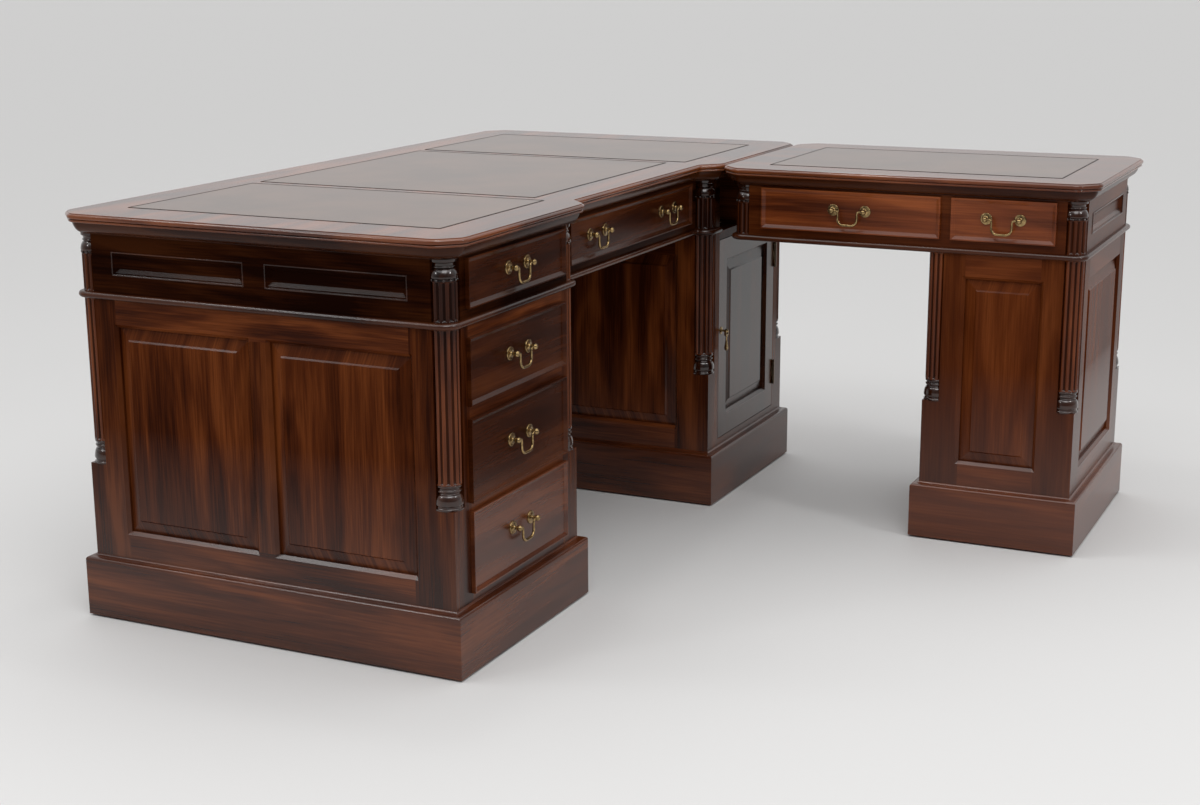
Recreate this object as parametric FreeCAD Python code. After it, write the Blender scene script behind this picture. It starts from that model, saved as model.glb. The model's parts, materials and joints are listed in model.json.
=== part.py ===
import FreeCAD, Part
import math
import os
from collections import namedtuple

# Corner writing desk: a main desk on two pedestals, with a return on a third pedestal.
# The main desk's drawers face -Y, the return stands at its +X end and faces -X, +Z is up.
# The origin is the middle of the whole footprint, on the floor. Lengths are in millimetres.

# Tops
desk_height = 780.0
top_length = 1678.0
top_depth = 836.0
return_top_length = 804.0
return_top_depth = 548.0
tops_gap = 19.0
return_set_in = 4.0
top_thickness = 22.0
top_overhang = 24.0
corner_cant = 34.0
cant_round = 30.0
step_round = 6.0
nose_chamfer = 6.0
nose_under_chamfer = 3.5
nose_bead_height = 7.0
nose_bead_inset = 4.0
nose_bead_chamfer = 2.0

# Leather fields let into the tops
leather_thickness = 1.6
leather_margin = 86.0
leather_end_margin = 105.0
leather_step = 30.0

# Moulding under the tops
bed_mould_height = 17.0
bed_mould_projection = 14.0
bed_mould_fillet = 3.0

# Frieze and waist
frieze_height = 125.0
frieze_board = 22.0
waist_thickness = 12.0
waist_projection = 9.0
waist_chamfer = 4.0
waist_corner_round = 30.0
waist_step_round = 2.0
sunk_panel_rise = 34.0
sunk_panel_height = 42.0
sunk_panel_depth = 7.0
sunk_panel_edge = 2.0
sunk_panel_quirk = 2.0
sunk_panel_splay = 7.0

# Pedestals
pedestal_width = 476.0
return_pedestal_width = 321.0
frame_thickness = 24.0
stile_width = 32.0
muntin_width = 47.0
rail_width = 52.0
sight_chamfer = 6.0
panel_bevel_width = 22.0
panel_field_depth = 2.0
panel_field_step = 3.0
panel_edge_depth = 11.0
tongue_thickness = 8.0
tongue_length = 8.0
board_thickness = 16.0

# Corner columns in their notches
column_radius = 22.5
column_inset = 2.5
column_notch = 36.0
post_wall = 14.0
corner_block_height = 179.0
flute_count = 12
flute_width = 8.6
flute_depth = 2.6
cap_height = 38.0
base_height = 45.0

# Plinths and glides
plinth_height = 113.0
plinth_mould_height = 11.0
plinth_projection = 16.0
plinth_board = 34.0
plinth_ovolo = 6.0
plinth_quirk = 2.0
glide_height = 4.0
glide_radius = 16.0
glide_set_in = 24.0

# Drawers
drawer_width = 368.0
kneehole_drawer_margin = 38.0
return_drawer_start = 66.5
return_drawer_end = 55.5
return_drawer_gap = 23.0
frieze_drawer_rise = 17.0
frieze_drawer_height = 88.0
low_drawer_rise = 16.5
low_drawer_drop = 21.0
low_drawer_gaps = (15.5, 23.0)
lip_overlap = 6.0
lip_proud = 8.0
lip_rim = 2.5
lip_splay = 6.5
lip_sink = 4.5
lip_gap = 0.3
drawer_front = 18.0
drawer_side = 12.0
drawer_bottom = 6.0
drawer_bottom_rise = 8.0
drawer_clearance = 1.0
drawer_headroom = 8.0
seat_gap = 0.3
drawer_back_space = 130.0
kneehole_back_space = 176.0
return_back_space = 52.0
rail_depth = 50.0
runner_thickness = 10.0
runner_width = 22.0

# Swan neck handles
post_spacing = 70.0
handle_rise = 4.0
rosette_radius = 12.5
rosette_edge = 1.4
rosette_height = 3.6
ball_radius = 6.0
ball_stand_off = 14.0
neck_radius = 3.2
stem_width = 5.0
bail_radius = 2.7
bail_clearance = 0.05
bail_end_gap = 0.5
bail_grip = 4.5
bail_half_width = 21.0
bail_neck_round = 5.0
bail_bow_round = 13.0
bail_drop = 30.0

# Cupboard door with its hinges, latch and drop pull
door_gap = 1.5
door_stile = 52.0
door_rail = 54.0
door_bottom_rail = 16.0
door_top_rail = 19.0
hinge_height = 60.0
hinge_inset = 84.0
hinge_leaf = 1.2
hinge_leaf_width = 18.0
knuckle_radius = 3.2
knuckle_stand_off = 3.4
hinge_pin_radius = 1.6
hinge_pin_clearance = 0.05
knuckle_gap = 0.3
lock_width = 36.0
lock_height = 60.0
lock_thickness = 12.0
lock_wall = 2.0
bolt_height = 14.0
bolt_thickness = 5.0
bolt_length = 24.0
bolt_back_set = 0.6
bolt_throw = 8.0
bolt_clearance = 0.4
pull_back_set = 14.0
spindle_radius = 2.6
spindle_clearance = 0.06
pull_stand_off = 13.0
pull_ball_radius = 5.0
pull_pin_radius = 1.5
pull_pin_clearance = 0.05
pull_pin_grip = 3.2
pull_cheek_gap = 0.4
pull_cheek_thickness = 1.8
pull_cheek_radius = 2.4
pull_bridge_drop = 7.5
pull_bridge_thickness = 2.2
drop_length = 36.0
drop_radius = 4.6
cam_length = 6.0
cam_height = 9.0
cam_thickness = 2.0
escutcheon_radius = 9.0
escutcheon_edge = 0.8
escutcheon_height = 2.4
shelf_thickness = 16.0
shelf_set_back = 40.0
shelf_bearer = 14.0

# Bearer that carries the return's inner end on the right pedestal
bearer_width = 210.0
bearer_height = 108.0
bearer_reach = 340.0
bearer_board = 20.0
recess_depth = 380.0
bearer_side_gap = 6.0

# One overrun for all cuts
overrun = 2.0

# Shares of the profile sizes of turned and moulded work
column_cap_shares = ((1.0, 0), (1.07, 0.08), (0.95, 0.15), (1.05, 0.28), (0.74, 0.56), (0.92, 0.78),
                     (1.0, 1.0))
column_base_shares = ((1.11, 0), (1.11, 0.11), (1.0, 0.16), (1.11, 0.32), (0.85, 0.64), (1.06, 0.86),
                      (1.0, 1.0))
flute_floor_share = 0.45
ball_shares = ((0.9, 0.5), (0.97, 1.3), (0.45, 1.92))
bed_cove_share = 0.78
low_drawer_shares = (0.3563, 0.3563, 0.2874)
kneehole_handle_share = 0.2907
return_wide_share = 0.645
pull_height_share = 0.5392
shelf_height_share = 0.513
drop_shares = ((0.62, 0), (0.62, 0.08), (0.38, 0.12), (0.42, 0.32), (0.92, 0.74), (1.0, 0.86), (0.8, 0.95),
               (0.3, 1.0))

# Facets round turned pieces, few where a small piece repeats
column_sides = 12
turned_sides = 8
rod_sides = 6

Vector = FreeCAD.Vector
Plan = namedtuple("Plan", "x0 y0 x1 y1")
nodes = {}

# Levels
top_z = desk_height - top_thickness
bed_z = top_z - bed_mould_height
frieze_z = top_z - frieze_height
waist_z = frieze_z - waist_thickness
carcass_z = plinth_height + plinth_mould_height
block_z = carcass_z + corner_block_height
post_size = column_notch + post_wall

# Plans of the carcass faces
half_length = top_length / 2
half_depth = (top_depth + tops_gap + return_top_length) / 2
main = Plan(top_overhang - half_length, half_depth - top_depth + top_overhang,
            half_length - top_overhang, half_depth - top_overhang)
left = Plan(main.x0, main.y0, main.x0 + pedestal_width, main.y1)
right = Plan(main.x1 - pedestal_width, main.y0, main.x1, main.y1)
return_x1 = half_length - return_set_in - top_overhang
side = Plan(return_x1 - return_top_depth + 2 * top_overhang, top_overhang - half_depth,
            return_x1, return_top_length - half_depth - top_overhang)
outer = Plan(side.x0, side.y0, side.x1, side.y0 + return_pedestal_width)
kneehole_face = main.y0 + corner_cant
pedestal_height = waist_z - carcass_z
kneehole_drawer_width = right.x0 - left.x1 - 2 * kneehole_drawer_margin
drawer_length = main.y1 - main.y0 - drawer_front - drawer_back_space
kneehole_drawer_length = main.y1 - kneehole_face - drawer_front - kneehole_back_space
return_drawer_length = side.x1 - side.x0 - drawer_front - return_back_space
drawer_face_y = lip_sink - lip_proud - lip_gap


def keep(name, shapes):
    """Adds solids to the named node."""
    nodes.setdefault(name, []).extend(shapes)


def block(x0, y0, z0, x1, y1, z1):
    """A box between two opposite corners."""
    size = (abs(x1 - x0), abs(y1 - y0), abs(z1 - z0))
    return Part.makeBox(*size, Vector(min(x0, x1), min(y0, y1), min(z0, z1)))


def placed(shapes, quarters, x, y):
    """Copies turned by quarter turns about the vertical, then moved to x, y."""
    copies = []
    for shape in shapes:
        copy = shape.copy()
        copy.rotate(Vector(0, 0, 0), Vector(0, 0, 1), math.degrees(math.pi / 2) * quarters)
        copy.translate(Vector(x, y, 0))
        copies.append(copy)
    return copies


def corners(plan):
    """The four corners of a plan with the quarter turns that bring +X, +Y inwards."""
    return ((plan.x0, plan.y0, 0), (plan.x1, plan.y0, 1), (plan.x1, plan.y1, 2), (plan.x0, plan.y1, 3))


def splay(rect, depth, spread):
    """A cutter that narrows from the face at y = 0 to rect (x0, z0, x1, z1) at the given depth."""
    x0, z0, x1, z1 = rect
    wide = spread * (1 + overrun / depth)
    return Part.makeWedge(x0 - wide, -overrun, z0 - wide, z0, x0, x1 + wide, depth, z1 + wide, z1, x1)


def inset_points(points, inset):
    """The corners of an anticlockwise outline moved inwards by inset."""
    moved = []
    for i, here in enumerate(points):
        ahead = (points[(i + 1) % len(points)] - here).normalize()
        behind = (here - points[i - 1]).normalize()
        normals = Vector(-ahead.y - behind.y, ahead.x + behind.x, 0)
        moved.append(here + normals * (inset / (1 + ahead.dot(behind))))
    return moved


def eased(points, inset, outer_round, inner_round):
    """An anticlockwise outline moved inwards by inset, its corners rounded by short chords."""
    points = inset_points(points, inset)
    spots = []
    for i, here in enumerate(points):
        ahead = (points[(i + 1) % len(points)] - here).normalize()
        back = (points[i - 1] - here).normalize()
        turn = math.pi - ahead.getAngle(back)
        convex = back.cross(ahead).z < 0
        radius = outer_round - inset if convex else inner_round + inset
        centre = here + (ahead + back).normalize() * (radius / math.cos(turn / 2))
        first = here + back * (radius * math.tan(turn / 2)) - centre
        chords = max(round(turn / (math.pi / 8)), 1)
        for k in range(chords + 1):
            swing = FreeCAD.Rotation(Vector(0, 0, 1 if convex else -1), math.degrees(turn * k / chords))
            spots.append(centre + swing.multVec(first))
    return spots


def slab(spots, z0, z1):
    """A flat board over an outline, between two heights."""
    face = Part.Face(Part.makePolygon([spot + Vector(0, 0, z0) for spot in spots + spots[:1]]))
    return face.extrude(Vector(0, 0, z1 - z0))


def level_edges(solid, z):
    """The edges of a solid that lie flat at height z."""
    return [e for e in solid.Edges if all(abs(v.Z - z) < overrun / 100 for v in e.Vertexes)]


def skinned(rings):
    """A solid with flat faces between closed rings of corresponding corners, capped at both ends."""
    count = len(rings[0])
    faces = [Part.Face(Part.makePolygon(ring + ring[:1])) for ring in (rings[0], rings[-1])]
    for low, high in zip(rings, rings[1:]):
        for i in range(count):
            j = (i + 1) % count
            faces.append(Part.Face(Part.makePolygon([low[i], low[j], high[j], high[i], low[i]])))
    shell = Part.makeShell(faces)
    shell.sewShape()
    solid = Part.makeSolid(shell.Shells[0])
    if solid.Volume < 0:
        solid.reverse()
    return solid


def mitred(points, profile):
    """Mitred lengths of moulding round an anticlockwise outline, from a profile of (out, z) points."""
    rings = [[point + Vector(0, 0, z) for point in inset_points(points, -out)] for out, z in profile]
    return [skinned([[ring[j] for ring in rings] for j in (i - 1, i)]) for i in range(len(points))]


def turned(section, sides):
    """A turned solid about the Z axis with flat facets, from the (radius, z) points of its half section."""
    turns = [2 * math.pi * (i + 1 / 2) / sides for i in range(sides)]
    return skinned([[Vector(radius * math.cos(turn), radius * math.sin(turn), z) for turn in turns]
                    for radius, z in section])


def rod(radius, start, end, sides):
    """A straight faceted rod between two points."""
    along = end - start
    straight = turned(((radius, 0), (radius, along.Length)), sides)
    straight.Placement = FreeCAD.Placement(start, FreeCAD.Rotation(Vector(0, 0, 1), along))
    return straight


def faceted_hole(radius, start, end):
    """A faceted cutter that clears a faceted rod of the given radius as it turns."""
    return rod(radius / math.cos(math.pi / rod_sides), start, end, rod_sides)


def pin(radius, start, end):
    """A true round between two points, for a pin or its bore."""
    return Part.makeCylinder(radius, (end - start).Length, start, end - start)


def canted(plan, grow):
    """Corner points of a rectangle grown by grow, with canted corners."""
    x0, y0, x1, y1 = plan.x0 - grow, plan.y0 - grow, plan.x1 + grow, plan.y1 + grow
    cant = corner_cant
    places = ((x0 + cant, y0), (x1 - cant, y0), (x1, y0 + cant), (x1, y1 - cant),
              (x1 - cant, y1), (x0 + cant, y1), (x0, y1 - cant), (x0, y0 + cant))
    return [Vector(x, y, 0) for x, y in places]


def main_outline():
    """Corner points of the main top's edge, which steps back between the pedestals."""
    points = canted(main, top_overhang)
    y0 = main.y0 - top_overhang
    step_x = (left.x1 + top_overhang, right.x0 - top_overhang)
    step = [(step_x[0] - corner_cant, y0), (step_x[0], y0 + corner_cant),
            (step_x[1], y0 + corner_cant), (step_x[1] + corner_cant, y0)]
    return points[:1] + [Vector(x, y, 0) for x, y in step] + points[1:]


def top_slab(points, fields):
    """A top with an eased nose over a small bead, and shallow beds for the leather fields."""
    nose_z = top_z + nose_bead_height
    nose = slab(eased(points, 0, cant_round, step_round), nose_z, desk_height)
    nose = nose.makeChamfer(nose_chamfer, level_edges(nose, desk_height))
    nose = nose.makeChamfer(nose_under_chamfer, level_edges(nose, nose_z))
    bead = slab(eased(points, nose_bead_inset, cant_round, step_round), top_z, nose_z)
    bead = bead.makeChamfer(nose_bead_chamfer, level_edges(bead, top_z))
    return nose.fuse(bead).removeSplitter().cut(fields)


def leather(x0, y0, x1, y1):
    """One field of leather, flush with the top."""
    return block(x0, y0, desk_height - leather_thickness, x1, y1, desk_height)


def bed_mould(points):
    """Mitred lengths of cove moulding round an outline, tight under a top."""
    cove = bed_mould_height * bed_cove_share
    bend = math.sqrt(1 / 2)
    run = bed_mould_projection - bed_mould_fillet
    profile = ((0, 0), (bed_mould_fillet, 0), (bed_mould_projection - run * bend, cove * bend),
               (bed_mould_projection, cove), (bed_mould_projection, bed_mould_height), (0, bed_mould_height))
    return mitred(inset_points(points, top_overhang), [(out, bed_z + z) for out, z in profile])


def waist_board(points):
    """A board under the frieze with an eased nosing, its corners turned round the columns."""
    rounds = (waist_corner_round - waist_projection, waist_step_round + waist_projection)
    board = slab(eased(points, -waist_projection, *rounds), waist_z, frieze_z)
    flat = level_edges(board, waist_z) + level_edges(board, frieze_z)
    return board.makeChamfer(waist_chamfer, flat)


def corner_post(reach_x, reach_y, z0, z1, notch_z):
    """A post with its corner at the origin, notched above notch_z to hold a column."""
    post = block(0, 0, z0, reach_x, reach_y, z1)
    notch = block(-overrun, -overrun, notch_z, column_notch, column_notch, z1 + overrun)
    return post.cut(notch)


def column_space(z0, z1):
    """The notch that a column fills, with its outer corner clear."""
    far = column_radius * 2
    return block(-far, -far, z0, column_notch, column_notch, z1)


def fluted_shaft(z0, z1):
    """An engaged column with flutes, cut flat where it meets the notch."""
    pitch = 2 * math.pi / flute_count
    half = math.asin(flute_width / 2 / column_radius)
    middle = column_radius + column_inset
    steps = ((-1, column_radius), (-flute_floor_share, column_radius - flute_depth),
             (flute_floor_share, column_radius - flute_depth), (1, column_radius))
    spots = []
    for i in range(flute_count):
        for share, radius in steps:
            angle = math.pi / 4 + i * pitch + share * half
            spots.append(Vector(middle + radius * math.cos(angle), middle + radius * math.sin(angle), z0))
    shaft = Part.Face(Part.makePolygon(spots + spots[:1])).extrude(Vector(0, 0, z1 - z0))
    return shaft.common(column_space(z0, z1))


def engaged(shares, z0, height):
    """A turned piece on a column's axis, cut flat where it meets the notch."""
    section = [(column_radius * radius, z0 + height * rise) for radius, rise in shares]
    whole = turned(section, column_sides)
    whole.translate(Vector(column_radius + column_inset, column_radius + column_inset, 0))
    return whole.common(column_space(z0, z0 + height))


def raised_panel(rect):
    """A raised and fielded panel behind a sight opening rect (x0, z0, x1, z1), with a tongue all round
    and a chamfered edge on its field."""
    x0, z0, x1, z1 = rect
    back = panel_edge_depth + tongue_thickness
    edge = panel_field_depth + panel_field_step
    fx0, fz0 = x0 + panel_bevel_width, z0 + panel_bevel_width
    fx1, fz1 = x1 - panel_bevel_width, z1 - panel_bevel_width
    tongue = block(x0 - tongue_length, panel_edge_depth, z0 - tongue_length,
                   x1 + tongue_length, back, z1 + tongue_length)
    bevel = Part.makeWedge(fx0, edge, fz0, z0, x0, fx1, panel_edge_depth, fz1, z1, x1)
    step = panel_field_step
    field = Part.makeWedge(fx0 + step, panel_field_depth, fz0 + step, fz0, fx0,
                           fx1 - step, edge, fz1 - step, fz1, fx1)
    return tongue.fuse([bevel, field]).removeSplitter(), tongue


def framed_side(length, z0, z1, panels, stile, rail):
    """Stiles, rails and raised panels of a framed side, face at y = 0, running along +X from 0."""
    deep = frame_thickness
    span = (length - 2 * stile - (panels - 1) * muntin_width) / panels
    openings = []
    for i in range(panels):
        start = stile + i * (span + muntin_width)
        openings.append((start, z0 + rail, start + span, z1 - rail))
    stiles = [block(0, 0, z0, stile, deep, z1), block(length - stile, 0, z0, length, deep, z1)]
    for x0, low, x1, high in openings[:-1]:
        stiles.append(block(x1, 0, low, x1 + muntin_width, deep, high))
    rails = [block(stile, 0, z0, length - stile, deep, z0 + rail),
             block(stile, 0, z1 - rail, length - stile, deep, z1)]
    cutters = []
    boards = []
    for rect in openings:
        board, tongue = raised_panel(rect)
        boards.append(board)
        cutters += [tongue, splay(rect, sight_chamfer, sight_chamfer)]
    return [s.cut(cutters) for s in stiles], [r.cut(cutters) for r in rails], boards


def sunk_board(length, starts, span):
    """A frieze board with shallow moulded panels, face at y = 0, running along +X from 0."""
    board = block(0, 0, frieze_z, length, frieze_board, top_z)
    low = frieze_z + sunk_panel_rise
    high = low + sunk_panel_height
    edge = sunk_panel_edge
    inset = edge + sunk_panel_quirk + sunk_panel_splay
    for start in starts:
        end = start + span
        shallow = splay((start + edge, low + edge, end - edge, high - edge), edge, edge)
        deep = splay((start + inset, low + inset, end - inset, high - inset), sunk_panel_depth - edge,
                     sunk_panel_splay)
        deep.translate(Vector(0, edge, 0))
        board = board.cut([shallow, deep])
    return board


def panel_starts(length, panels):
    """Where the panels of a framed side start, and how wide they are."""
    span = (length - 2 * stile_width - (panels - 1) * muntin_width) / panels
    return [stile_width + i * (span + muntin_width) for i in range(panels)], span


def plinth(plan):
    """Four mitred boards with a moulded upper edge, round the foot of a pedestal."""
    bend = math.sqrt(1 / 2)
    ovolo_z = plinth_height + plinth_ovolo
    cove = plinth_projection - plinth_ovolo - plinth_quirk
    inner = plinth_projection - plinth_board
    profile = ((plinth_projection, glide_height), (plinth_projection, plinth_height),
               (plinth_projection - plinth_ovolo * (1 - bend), plinth_height + plinth_ovolo * bend),
               (plinth_projection - plinth_ovolo, ovolo_z), (cove, ovolo_z),
               (cove * (1 - bend), ovolo_z + (carcass_z - ovolo_z) * (1 - bend)), (0, carcass_z),
               (inner, carcass_z), (inner, glide_height))
    return mitred([Vector(x, y, 0) for x, y, quarters in corners(plan)], profile)


def glides(plan):
    """Four low round glides under the corners of a plinth."""
    reach = plinth_projection - glide_set_in
    spots = [(x, y) for x in (plan.x0 - reach, plan.x1 + reach) for y in (plan.y0 - reach, plan.y1 + reach)]
    return [rod(glide_radius, Vector(x, y, 0), Vector(x, y, glide_height), rod_sides) for x, y in spots]


def handle_post(towards):
    """A rosette, ball and square stem in one piece, bored across for the bail's end."""
    face_y = drawer_face_y
    section = [(rosette_radius, 0), (rosette_radius, rosette_edge), (neck_radius, rosette_height)]
    section += [(neck_radius, ball_stand_off - ball_radius)]
    section += [(ball_radius * wide, ball_stand_off + ball_radius * (out - 1)) for wide, out in ball_shares]
    post = turned(section, rod_sides)
    post.rotate(Vector(0, 0, 0), Vector(1, 0, 0), math.degrees(math.pi / 2))
    post.translate(Vector(0, face_y, 0))
    stem = block(-stem_width / 2, face_y, -stem_width / 2, stem_width / 2, drawer_front, stem_width / 2)
    centre = Vector(0, face_y - ball_stand_off, 0)
    across = Vector(towards, 0, 0)
    bottom = centre + across * (ball_radius - bail_grip)
    bore = faceted_hole(bail_radius + bail_clearance, bottom, centre + across * (ball_radius + overrun))
    return post.fuse(stem).cut(bore).removeSplitter()


def bail():
    """A swan neck bail hanging between the balls of its two posts."""
    y = drawer_face_y - ball_stand_off
    end = post_spacing / 2 - ball_radius + bail_grip - bail_end_gap
    wide, neck, bow = bail_half_width, bail_neck_round, bail_bow_round
    bend = bow * (1 - math.sqrt(1 / 2))
    half = ((end, 0), (wide + neck, 0), (wide, -neck), (wide, bow - bail_drop),
            (wide - bend, bend - bail_drop), (wide - bow, -bail_drop))
    path = [Vector(-x, y, z) for x, z in half] + [Vector(x, y, z) for x, z in half[::-1]]
    ends = turned(((bail_radius, 0), (bail_radius, bail_radius)), rod_sides).Faces
    section = [f for f in ends if f.BoundBox.ZLength < overrun / 100][0].OuterWire
    section.Placement = FreeCAD.Placement(path[0], FreeCAD.Rotation(Vector(0, 0, 1), Vector(1, 0, 0)))
    return Part.makePolygon(path).makePipeShell([section], True, False, 1)


def drawer(name, width, z0, z1, length, offsets, quarters, x, y):
    """A lipped drawer facing -Y with its middle at x = 0 and its field sunk in a moulded rim, then turned and
    moved to its opening."""
    half = width / 2 - lip_overlap - drawer_clearance
    low = z0 + lip_overlap
    high = z1 - lip_overlap
    rim = block(-width / 2, -lip_gap - lip_proud, z0, width / 2, -lip_gap, z1)
    inset = lip_rim + lip_splay
    field = splay((inset - width / 2, z0 + inset, width / 2 - inset, z1 - inset), lip_sink, lip_splay)
    field.translate(Vector(0, -lip_gap - lip_proud, 0))
    plug = block(-half, -lip_gap, low + drawer_clearance, half, drawer_front, high - drawer_clearance)
    front = rim.cut(field).fuse(plug).removeSplitter()
    handle_z = (z0 + z1) / 2 + handle_rise
    posts = []
    for offset in offsets:
        for sign in (-1, 1):
            spot = Vector(offset + sign * post_spacing / 2, 0, handle_z)
            hole = block(-stem_width / 2, -lip_gap - lip_proud - overrun, -stem_width / 2,
                         stem_width / 2, drawer_front + overrun, stem_width / 2)
            hole.translate(spot)
            front = front.cut(hole)
            post = handle_post(-sign)
            post.translate(spot)
            posts.append(post)
    box_low = low + seat_gap
    box_high = high - drawer_headroom
    back = drawer_front + length
    inner = half - drawer_side
    floor_z = box_low + drawer_bottom_rise
    sides = [block(sign * inner, drawer_front, box_low, sign * half, back, box_high) for sign in (-1, 1)]
    rear = block(-inner, back - drawer_side, box_low, inner, back, box_high)
    floor = block(-inner, drawer_front, floor_z, inner, back - drawer_side, floor_z + drawer_bottom)
    keep(name + "_front", placed([front], quarters, x, y))
    keep(name + "_box", placed(sides + [rear, floor], quarters, x, y))
    keep(name + "_posts", placed(posts, quarters, x, y))
    for i, offset in enumerate(offsets):
        hanging = bail()
        hanging.translate(Vector(offset, 0, handle_z))
        suffix = "_bail" if len(offsets) == 1 else "_bail_" + "ab"[i]
        keep(name + suffix, placed([hanging], quarters, x, y))


def runners(width, z0, length, wall, thickness, quarters, x, y):
    """Two runners under a drawer's sides, reaching out to the wall beside them."""
    half = width / 2 - lip_overlap
    low = z0 + lip_overlap
    strips = [block(sign * (half - runner_width), rail_depth, low - thickness, sign * (half + wall),
                    drawer_front + length, low) for sign in (-1, 1)]
    keep("drawer_runners", placed(strips, quarters, x, y))


def shoulder_block():
    """The block over a cap that fills the notch up to the top, canted like the top's edge."""
    edge = inset_points(canted(Plan(0, 0, desk_height, desk_height), top_overhang), top_overhang)
    spots = [edge[0], Vector(column_notch, 0, 0), Vector(column_notch, column_notch, 0),
             Vector(0, column_notch, 0), edge[-1], edge[0]]
    solid = Part.Face(Part.makePolygon(spots)).extrude(Vector(0, 0, bed_mould_height))
    solid.translate(Vector(0, 0, bed_z))
    return solid


def side_frames(plan, panels, facings):
    """Framed sides between the corner posts, for the given facings in quarter turns."""
    starts = {0: (plan.x0 + post_size, plan.y0), 1: (plan.x1, plan.y0 + post_size),
              2: (plan.x1 - post_size, plan.y1), 3: (plan.x0, plan.y1 - post_size)}
    lengths = (plan.x1 - plan.x0 - 2 * post_size, plan.y1 - plan.y0 - 2 * post_size)
    for facing in facings:
        turn = facing % 2
        made = framed_side(lengths[turn], carcass_z, waist_z, panels[turn], stile_width, rail_width)
        for label, pieces in zip(("pedestal_stiles", "pedestal_rails", "raised_panels"), made):
            keep(label, placed(pieces, facing, *starts[facing]))


# Tops with their leather
left_split = left.x1 + top_overhang - leather_step / 2
right_split = right.x0 - top_overhang + leather_step / 2
nose = Plan(main.x0 - top_overhang, main.y0 - top_overhang, main.x1 + top_overhang, main.y1 + top_overhang)
field_y0 = nose.y0 + leather_margin
field_y1 = nose.y1 - leather_margin
half_step = leather_step / 2
main_fields = [leather(nose.x0 + leather_end_margin, field_y0, left_split - half_step, field_y1),
               leather(left_split + half_step, field_y0 + corner_cant, right_split - half_step, field_y1),
               leather(right_split + half_step, field_y0, nose.x1 - leather_end_margin, field_y1)]
grow = leather_margin - top_overhang
return_field = leather(side.x0 + grow, side.y0 + grow, side.x1 - grow, side.y1 - grow)
keep("main_top", [top_slab(main_outline(), main_fields)])
keep("return_top", [top_slab(canted(side, top_overhang), [return_field])])
keep("leather_fields", main_fields + [return_field])

# Mouldings under the tops
keep("bed_moulds", bed_mould(main_outline()))
keep("bed_moulds", bed_mould(canted(side, top_overhang)))

# Waist boards, the main one stepped back at the kneehole and open at the recess for the return's bearer
recess_x0 = right.x0 + (pedestal_width - drawer_width) / 2 + lip_overlap
recess_x1 = right.x1 - (pedestal_width - drawer_width) / 2 - lip_overlap
step_corners = [(left.x1, left.y0), (left.x1, kneehole_face), (right.x0, kneehole_face), (right.x0, right.y0)]
around = [Vector(x, y, 0) for x, y, quarters in corners(main)]
waist = waist_board(around[:1] + [Vector(x, y, 0) for x, y in step_corners] + around[1:])
recess = block(recess_x0, main.y0 - column_notch, waist_z - overrun, recess_x1,
               main.y0 + recess_depth, frieze_z + overrun)
keep("waist_boards", [waist.cut(recess), waist_board([Vector(x, y, 0) for x, y, quarters in corners(side)])])

# Corner posts, columns, caps and bases
shaft_low = fluted_shaft(block_z + base_height, waist_z)
shaft_high = fluted_shaft(frieze_z, bed_z - cap_height)
cap = engaged(column_cap_shares, bed_z - cap_height, cap_height)
base = engaged(column_base_shares, block_z, base_height)
opening_reach = (pedestal_width - drawer_width) / 2 + lip_overlap
shoulder = shoulder_block()
inner_backs = ((left.x1, left.y1), (right.x0, right.y1))
for plan, fronted in ((left, True), (right, True), (outer, False)):
    for x, y, quarters in corners(plan):
        reach = [post_size, post_size]
        if fronted and quarters < 2:
            reach[quarters] = opening_reach
        plain = (x, y) in inner_backs
        post = corner_post(reach[0], reach[1], carcass_z, waist_z, waist_z if plain else block_z)
        keep("pedestal_stiles", placed([post], quarters, x, y))
        if not plain:
            keep("lower_columns", placed([shaft_low], quarters, x, y))
            keep("column_bases", placed([base], quarters, x, y))
upper_corners = [c + (True,) for c in corners(left)[:2] + corners(right)[:2]]
upper_corners += [corners(main)[2] + (False,), corners(main)[3] + (False,)]
for x, y, quarters, fronted in upper_corners:
    reach = [post_size, post_size]
    if fronted:
        reach[quarters] = opening_reach
    post = corner_post(reach[0], reach[1], frieze_z, top_z, frieze_z)
    keep("main_frieze", placed([post], quarters, x, y))
for x, y, quarters in corners(side):
    post = corner_post(post_size, post_size, frieze_z, top_z, frieze_z)
    keep("return_frieze", placed([post], quarters, x, y))
for x, y, quarters in [c[:3] for c in upper_corners] + list(corners(side)):
    keep("upper_columns", placed([shaft_high], quarters, x, y))
    keep("column_caps", placed([cap], quarters, x, y))
    keep("shoulder_blocks", placed([shoulder], quarters, x, y))

# Framed sides of the pedestals
side_frames(left, (1, 2), (1, 2, 3))
side_frames(right, (1, 2), (1, 2, 3))
side_frames(outer, (1, 1), (0, 1, 2, 3))

# Boards inside the pedestals, which close them above and below
for plan in (left, right, outer):
    x0, x1 = plan.x0 + frame_thickness, plan.x1 - frame_thickness
    y0, y1 = plan.y0 + post_size, plan.y1 - post_size
    keep("pedestal_boards", [block(x0, y0, carcass_z, x1, y1, carcass_z + board_thickness),
                             block(x0, y0, waist_z - board_thickness, x1, y1, waist_z)])

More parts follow.
